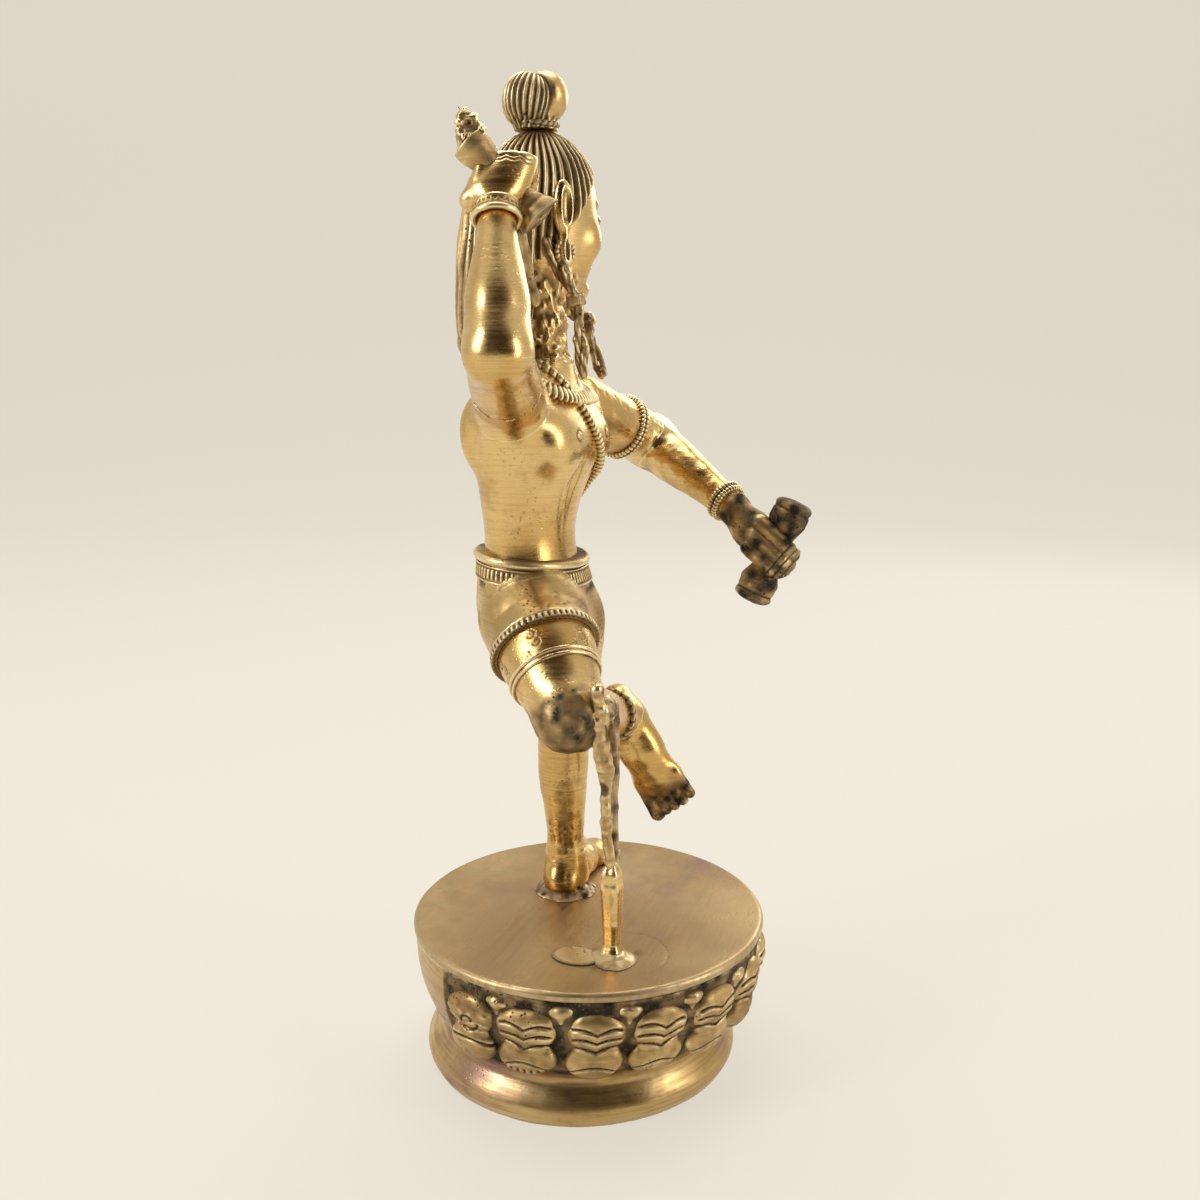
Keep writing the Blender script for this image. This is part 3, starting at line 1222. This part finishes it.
def strut_rod_rear(p):
    a, b = BONE["socket_top"] + (1.6, -0.4, 0), BONE["rear_rod_top"]
    d = tube(p, [(a, 1.3), (between(a, b, 0.35), 1.3), (between(a, b, 0.7), 1.9), (between(a, b, 0.98), 1.9)])
    return d + 0.3 * lumps(p, 3.4), 0.45 + 0.5 * lumps(p, 3)


def knee_braze(p):
    middle = BONE["knee_fill"]
    c, s = math.cos(0.17), math.sin(0.17)
    d = egg(p, middle, (7.0, 3.8, 4.8), ((c, s, 0), (-s, c, 0), UP))
    d = d + 0.9 * lumps(p, 3.0) + 0.4 * lumps(p, 1.6)
    return d * 0.8, 0.45 + 0.6 * lumps(p, 2.2)


def foot_braze(p):
    x, y, z = (p - BONE["left_heel"]).T
    r = np.hypot(x, y) + 0.9 * lumps(p, 3.5)
    d = (z - 2.6 * step(12.5, 7.5, r) - 0.3 * lumps(p, 1.6)) * 0.7
    return most(d, -z, r - 11.5), 0.55 + 0.7 * lumps(p, 1.8)


def right_anklet(p):
    a, b = BONE["right_knee"], BONE["right_ankle"]
    s, r, angle = along(p, a, b)
    place = 0.75 * np.linalg.norm(b - a)
    skin = right_shin_form(p)
    twist = comb(angle * 20 / TURN + 0.32 * (s - place), 1.7)
    d = np.hypot(most(np.abs(s - place) - 0.5, 0), skin - 0.5) - 1.1
    return d + 0.3 * twist, most(twist * 0.9, 0.5)


# ---------------------------------------------------------------- arms' trimmings and hands
def arm_ring(a_name, b_name, share, form, half, thick, beads, rough):
    """A band round a limb that follows its skin: two rows of beads, or plain where there are none."""
    def field(p):
        a, b = BONE[a_name], BONE[b_name]
        s, r, angle = along(p, a, b)
        off = s - share * np.linalg.norm(b - a)
        skin = form(p)
        if beads:
            bead = np.abs(np.sin(angle * beads / 2))
            rows = np.minimum(np.abs(off - half * 0.5), np.abs(off + half * 0.5))
            d = np.hypot(rows, skin - 0.55) - half * 0.5 * (0.75 + 0.4 * bead)
            dark = most(step(0.5, 0.1, bead), line(off, 0.4))
        else:
            d = rounded(np.abs(off) - half, np.abs(skin - thick / 2) - thick / 2, 0.4)
            dark = 0 * off
        return d + rough * lumps(p, 2.2), dark
    return field


def right_bracelet(p):
    a, b = BONE["right_elbow"], BONE["right_wrist"]
    s, r, angle = along(p, a, b)
    off = s - 0.955 * np.linalg.norm(b - a)
    skin = right_forearm_form(p)
    band = rounded(np.abs(off - 0.3) - 1.9, np.abs(skin - 0.9) - 0.9, 0.4)
    lip = np.hypot(off + 1.9, skin - 1.3) - 0.85
    edge = np.hypot(off - 2.1, skin - 1.0) - 0.55
    dots = line(np.hypot(off - 0.4, (angle * 8.0 + 50) % 1.9 - 0.95), 0.42)
    d = melt(melt(band, lip, 0.5), edge, 0.4) + 0.3 * dots
    return d, most(dots, line(off + 0.9, 0.3) * 0.8)


def fire_bowl(p):
    a, b = BONE["bowl_foot"], BONE["bowl_mouth"]
    s, r, angle = along(p, a, b)
    reach = np.linalg.norm(b - a)
    radius = np.interp(s / reach, (-0.1, 0, 0.1, 0.3, 0.42, 0.58, 0.72, 0.88, 1.0),
                       (7.6, 7.2, 5.9, 3.6, 3.0, 3.0, 4.2, 5.4, 5.4))
    d = (r - radius) * 0.8
    d = most(d, most(-s - 0.8 * np.cos(angle * 3) * 0.5, s - reach))
    d = cut(d, most(r - 4.0, reach - 3 - s), 0.6)
    ring = line(s / reach - 0.12, 0.02)
    mouth = step(4.6, 3.8, r) * step(reach - 4, reach - 2, s)
    return d + 0.15 * lumps(p, 3) + 0.2 * ring, most(0.45 + 0.4 * lumps(p, 4), mouth)


def bowl_tie_bar(p):
    low, high = box("bowl_tie_bar")
    a = np.array((low[0] + 1.3, low[1] + 1.5, high[2] - 1))
    b = np.array((high[0] - 1.4, high[1] - 1.6, low[2] + 1))
    d = bone(p, a, b, 1.3, 1.7)
    return d + 0.25 * lumps(p, (2, 2, 5)), 0.5 + 0.4 * lumps(p, 3)


def flame(p):
    a, b = BONE["bowl_foot"], BONE["bowl_mouth"]
    base = between(a, b, 0.86)
    tip = b + (-0.8, 2.0, 9.0)
    d = tube(p, [(base, 3.2), (between(base, tip, 0.35), 4.2), (between(base, tip, 0.75), 2.8),
                 (tip, 1.0)], 1)
    crumbs = 1.3 * lumps(p, 2.3) + 0.6 * lumps(p, 1.2)
    return (d + crumbs) * 0.65, 0.35 + 0.5 * crumbs


HAND_UP = unit(BONE["right_wrist"] - BONE["right_elbow"])
HAND_BACK = np.array((-0.94, -0.342, 0.0))
HAND_BACK = unit(HAND_BACK - HAND_UP * (HAND_BACK @ HAND_UP))
HAND_SIDE = np.cross(HAND_UP, HAND_BACK)        # towards the figure's front


def hand_point(side, up, back):
    return BONE["right_wrist"] + HAND_SIDE * side + HAND_UP * up + HAND_BACK * back


hand_stack = Stack([(-1, 0, 0, 6.0, 5.6), (1.7, -0.4, 0, 7.7, 5.8), (4.3, -0.2, 0, 9.2, 6.0),
                    (8.5, 1.1, 0, 9.3, 5.8), (12, 2.6, 0, 8.9, 5.4), (15.4, 3.5, 0, 8.8, 5.0)], 1.0)


def right_hand_form(p):
    v = p - BONE["right_wrist"]
    d = hand_stack(v @ HAND_SIDE, v @ HAND_BACK, v @ HAND_UP, 1.2)
    d = melt(d, egg(p, hand_point(-7.2, 2.8, -0.6), (3.6, 3.2, 3.6), (HAND_SIDE, HAND_UP, HAND_BACK)), 1.2)
    for i in range(4):
        side = -2.6 + 3.9 * i
        finger = ((side, 12.4, -2.4, 2.4), (side, 13.4, -7.0, 2.4), (side * 0.9, 9.5, -11.0, 2.2),
                  (side * 0.8, 4.5, -9.0, 1.9))
        d = melt(d, tube(p, [(hand_point(*place), radius) for *place, radius in finger], 0.8), 0.7)
    thumb = ((-4.6, 7, 2.0, 2.8), (-3.2, 12.5, 3.0, 2.4), (-1.6, 17.2, 2.4, 2.2))
    return melt(d, tube(p, [(hand_point(*place), radius) for *place, radius in thumb]), 0.6)


right_hand_whole = joined(right_hand_form, (right_forearm_form, 2))


def right_hand(p):
    d = right_hand_whole(p)
    v = p - BONE["right_wrist"]
    side, up, back = v @ HAND_SIDE, v @ HAND_UP, v @ HAND_BACK
    outer = step(-3.5, -1.5, back)
    wave = 13.6 - 0.8 * np.abs(np.sin((side + 4.5) / 3.9 * np.pi))
    across = step(8.4, 7.0, np.abs(side - 3))
    cuts = outer * most(line(up - wave, 0.26), line(up - wave + 1.2, 0.26)) * across
    between_fingers = comb((side + 4.55) / 3.9, 3.2) * step(14.2, 15.2, up)
    bowl, _ = fire_bowl(p)
    cuts = most(cuts, between_fingers * across)
    d = most(d + 0.22 * cuts + 0.05 * lumps(p, 4), -bowl - 0.1)
    return d, most(cuts * 0.9, 0.5 * step(-7, -10, back))


def damaru(p):
    a, b = BONE["drum_bottom"], BONE["drum_top"]
    s, r, angle = along(p, a, b)
    share = s / np.linalg.norm(b - a)
    radius = np.interp(share, (-0.08, 0, 0.18, 0.36, 0.5, 0.64, 0.82, 1.0, 1.08),
                       (5.2, 6.6, 6.9, 4.4, 3.2, 4.4, 6.9, 6.6, 5.2))
    reach = np.linalg.norm(b - a)
    d = (r - radius) * 0.75
    d = -melt(-d, -most(-s - 1.6, s - reach - 1.6), 2.4)
    rims = most(line(share - 0.06, 0.018), line(share - 0.94, 0.018))
    return d + 0.3 * rims + 0.18 * lumps(p, 3), most(rims, 0.88 + 0.4 * lumps(p, 3.4))


DRUM_AXIS = unit(BONE["drum_top"] - BONE["drum_bottom"])
DRUM_MIDDLE = between("drum_bottom", "drum_top", 0.5)


def left_hand_form(p):
    palm = BONE["left_palm"]
    wrist = BONE["left_wrist"]
    d = bone(p, wrist, palm, 5.2, 5.8)
    d = melt(d, egg(p, palm + (1.5, -1.5, -1.0), (5.0, 6.8, 7.4)), 3)
    reach = unit(DRUM_MIDDLE - palm)
    out = unit(np.cross(reach, DRUM_AXIS))
    for i, rise in enumerate((4.6, -0.2, -5.0)):
        root = palm + reach * 3.0 + out * 4.8 + DRUM_AXIS * rise
        knuckle = DRUM_MIDDLE + out * 5.8 + reach * 4.0 + DRUM_AXIS * rise
        bend = DRUM_MIDDLE + reach * 7.2 - out * 1.0 + DRUM_AXIS * rise * 0.9
        tip = DRUM_MIDDLE + reach * 1.2 - out * 6.6 + DRUM_AXIS * rise * 0.8
        d = melt(d, tube(p, [(root, 2.8), (knuckle, 2.7), (bend, 2.5), (tip, 2.1)], 0.9), 0.9)
    thumb = tube(p, [(palm - out * 3.5, 3.0), (palm - out * 6.0 + reach * 5 + DRUM_AXIS * 5.0, 2.5),
                     (palm - out * 6.2 + reach * 9 + DRUM_AXIS * 8.0, 2.1)], 1)
    return melt(d, thumb, 0.9)


left_hand_whole = joined(left_hand_form, (left_forearm_form, 2.5))


def left_hand(p):
    d = left_hand_whole(p)
    drum, _ = damaru(p)
    v = p - DRUM_MIDDLE
    reach = unit(DRUM_MIDDLE - BONE["left_palm"])
    off_axis = length(v - (v @ DRUM_AXIS)[:, None] * DRUM_AXIS)
    rings = comb((v @ reach) / 2.6 + 0.2 * lumps(p, 5), 2.6) * step(2, 4, off_axis)
    rings = rings * step(0.0, 1.5, v @ reach)
    d = most(d + 0.25 * rings + 0.15 * lumps(p, 2.4), -drum - 0.1)
    return d, most(rings, 0.68 + 0.5 * lumps(p, 2.6))


# ---------------------------------------------------------------- building every piece
FIGURE, RELIEF, BRAZE, BASE = "figure_brass", "relief_brass", "braze", "base_brass"
shoulder_seam = arm_ring("right_shoulder", "right_elbow", 0.34, right_arm_form, 1.1, 0.12, 0, 0.2)
left_armlet = arm_ring("left_shoulder", "left_elbow", 0.62, left_arm_form, 1.8, 1.2, 44, 0.15)
left_bracelet = arm_ring("left_elbow", "left_wrist", 0.92, left_forearm_form, 2.2, 1.2, 34, 0.15)
right_forearm = filed(right_forearm_whole, 7, 0.08)

# node, field, finish, grid cell, and how far the grid reaches past the node's box, in millimetres
PIECES = [
    ("base_shell", base_shell, BASE, 0.75, 2), ("closing_plate", closing_plate, BASE, 0.75, 1.5),
    ("top_plate", top_plate, "plate_brass", 0.7, 1.5), ("lotus_petals", lotus_petals, RELIEF, 0.42, 2),
    ("bud_petals", bud_petals, RELIEF, 0.42, 1.5), ("left_leg", left_leg, FIGURE, 0.42, 3),
    ("left_foot", left_foot, FIGURE, 0.42, 3), ("foot_braze", foot_braze, BRAZE, 0.35, 2),
    ("torso", torso, FIGURE, 0.5, 3), ("right_thigh", right_thigh, FIGURE, 0.4, 3),
    ("right_shin", right_shin, FIGURE, 0.42, 3), ("right_foot", right_foot, FIGURE, 0.35, 3),
    ("right_anklet", right_anklet, RELIEF, 0.35, 3), ("dhoti_hips", dhoti_hips, RELIEF, 0.42, 3),
    ("dhoti_sleeve", dhoti_sleeve, RELIEF, 0.42, 3), ("belt_band", belt_band, RELIEF, 0.36, 2),
    ("belt_cord", belt_cord, RELIEF, 0.36, 2), ("thigh_hem", thigh_hem, RELIEF, 0.34, 3),
    ("thigh_band", thigh_band, FIGURE, 0.34, 2), ("strut_pad", strut_pad, BRAZE, 0.35, 1.5),
    ("strut_leaf", strut_leaf, BRAZE, 0.3, 1), ("strut_socket", strut_socket, FIGURE, 0.3, 2),
    ("strut_rod_front", strut_rod_front, FIGURE, 0.3, 2.5), ("strut_rod_rear", strut_rod_rear, BRAZE, 0.3, 2),
    ("knee_braze", knee_braze, BRAZE, 0.3, 3), ("head", head, FIGURE, 0.36, 3),
    ("hair_cap", hair_cap, RELIEF, 0.36, 2), ("back_hair", back_hair, RELIEF, 0.42, 3),
    ("topknot", topknot, RELIEF, 0.34, 1.5), ("topknot_tie", topknot_tie, RELIEF, 0.3, 2),
    ("right_earring", earring_field(1), RELIEF, 0.24, 3), ("left_earring", earring_field(-1), RELIEF, 0.24, 3),
    *((name, lock_field(name), RELIEF, 0.28, 3) for name in LOCKS),
    ("necklace", necklace, RELIEF, 0.34, 3), ("chest_cord", chest_cord, RELIEF, 0.34, 3),
    ("right_upper_arm", right_upper_arm, FIGURE, 0.42, 3),
    ("right_shoulder_braze", shoulder_seam, BRAZE, 0.36, 3),
    ("right_forearm", right_forearm, FIGURE, 0.42, 3), ("right_bracelet", right_bracelet, RELIEF, 0.3, 3),
    ("fire_bowl", fire_bowl, RELIEF, 0.34, 2), ("bowl_tie_bar", bowl_tie_bar, RELIEF, 0.3, 1.5),
    ("flame", flame, RELIEF, 0.3, 3), ("right_hand", right_hand, FIGURE, 0.34, 4),
    ("left_upper_arm", left_upper_arm, FIGURE, 0.42, 3), ("left_armlet", left_armlet, RELIEF, 0.32, 3),
    ("left_forearm", left_forearm, FIGURE, 0.42, 3), ("left_bracelet", left_bracelet, RELIEF, 0.3, 3),
    ("damaru", damaru, RELIEF, 0.34, 2), ("left_hand", left_hand, RELIEF, 0.32, 3),
]

with ThreadPoolExecutor(4) as pool:
    for made in pool.map(lambda item: shape(*item), PIECES):
        hang(*made)


# ---------------------------------------------------------------- studio
def plain(name, colour, glow, roughness=0.9):
    """A plain matt finish with the faintest mottling."""
    material = bpy.data.materials.new(name)
    material.use_nodes = True
    nodes, links = material.node_tree.nodes, material.node_tree.links
    shader = nodes["Principled BSDF"]
    mottle = nodes.new("ShaderNodeTexNoise")
    mottle.inputs["Scale"].default_value = 3.0
    ramp = nodes.new("ShaderNodeValToRGB")
    ramp.color_ramp.elements[0].color = (*[c * 0.985 for c in colour], 1)
    ramp.color_ramp.elements[1].color = (*colour, 1)
    links.new(mottle.outputs["Fac"], ramp.inputs["Fac"])
    links.new(ramp.outputs["Color"], shader.inputs["Base Color"])
    shader.inputs["Roughness"].default_value = roughness
    shader.inputs["Specular IOR Level"].default_value = 0.1
    shader.inputs["Emission Color"].default_value = (*glow, 1)
    shader.inputs["Emission Strength"].default_value = 1.0
    return material


CREAM = (0.17, 0.161, 0.145)
GLOW = (0.66, 0.615, 0.53)
VIEW_AHEAD = np.array((0.940, 0.342))           # level direction that the camera looks in
VIEW_RIGHT = np.array((0.342, -0.940))


def sweep():
    """A floor that curves up into a backdrop behind the object."""
    floor_reach, wall_at, bend, wall_top, half_width = -1.6, 2.2, 0.9, 3.2, 4.5
    profile = [(floor_reach, 0.0), (wall_at - bend, 0.0)]
    for i in range(1, 17):
        angle = math.radians(90 * i / 16)
        profile.append((wall_at - bend + bend * math.sin(angle), bend - bend * math.cos(angle)))
    profile.append((wall_at, wall_top))
    points, faces = [], []
    for ahead, height in profile:
        for side in (-half_width, half_width):
            x, y = VIEW_AHEAD * ahead + VIEW_RIGHT * side
            points.append((x, y, height))
    for i in range(len(profile) - 1):
        faces.append((2 * i, 2 * i + 1, 2 * i + 3, 2 * i + 2))
    mesh = bpy.data.meshes.new("floor")
    mesh.from_pydata(points, [], faces)
    mesh.polygons.foreach_set("use_smooth", [True] * len(faces))
    mesh.materials.append(plain("cream_paper", CREAM, GLOW))
    floor = bpy.data.objects.new("floor", mesh)
    bpy.context.scene.collection.objects.link(floor)


sweep()


def softbox(name, ahead, right, up, size, power, colour=(1, 1, 1), aim=0.17):
    """A rectangular light placed from the camera's point of view, aimed at the object."""
    data = bpy.data.lights.new(name, "AREA")
    data.shape = "RECTANGLE"
    data.size, data.size_y = size
    data.energy = power
    data.color = colour
    light = bpy.data.objects.new(name, data)
    x, y = VIEW_AHEAD * ahead + VIEW_RIGHT * right
    light.location = (x, y, up)
    direction = light.location - Vector((0, 0, aim))
    light.rotation_euler = direction.to_track_quat("Z", "Y").to_euler()
    bpy.context.scene.collection.objects.link(light)


softbox("key", -0.55, -1.05, 0.75, (0.35, 0.9), 8)
softbox("fill", -0.45, 1.05, 0.5, (0.3, 0.9), 4, (1.0, 0.97, 0.92))
softbox("overhead", 0.35, -0.1, 1.3, (0.9, 0.6), 9)
softbox("rim", 0.95, 0.6, 0.75, (0.6, 0.8), 4)

# The room is bright cream all round, but for a dark upright band on the side that the picture
# is taken from, which the brass shows as brown.
world = bpy.data.worlds.new("studio")
bpy.context.scene.world = world
world.use_nodes = True
room, room_links = world.node_tree.nodes, world.node_tree.links


def room_vector(operation, source, by=None):
    """A vector operation on a socket's value."""
    made = room.new("ShaderNodeVectorMath")
    made.operation = operation
    room_links.new(source, made.inputs[0])
    if by:
        made.inputs[1].default_value = by
    return made.outputs


flattened = room_vector("MULTIPLY", room.new("ShaderNodeTexCoord").outputs["Generated"], (1, 1, 0.35))
heading = room_vector("NORMALIZE", flattened["Vector"])
towards_camera = room_vector("DOT_PRODUCT", heading["Vector"], (*-VIEW_AHEAD, 0))
room_ramp = room.new("ShaderNodeValToRGB")
room_links.new(towards_camera["Value"], room_ramp.inputs["Fac"])
stops = room_ramp.color_ramp.elements
stops[0].position, stops[0].color = 0.20, (0.9, 0.84, 0.72, 1)
stops[1].position, stops[1].color = 0.80, (0.05, 0.030, 0.016, 1)
middle_stop = stops.new(0.52)
middle_stop.color = (0.24, 0.165, 0.10, 1)
room_links.new(room_ramp.outputs["Color"], room["Background"].inputs["Color"])
room["Background"].inputs["Strength"].default_value = 0.7

bpy.context.scene.view_settings.view_transform = "Standard"
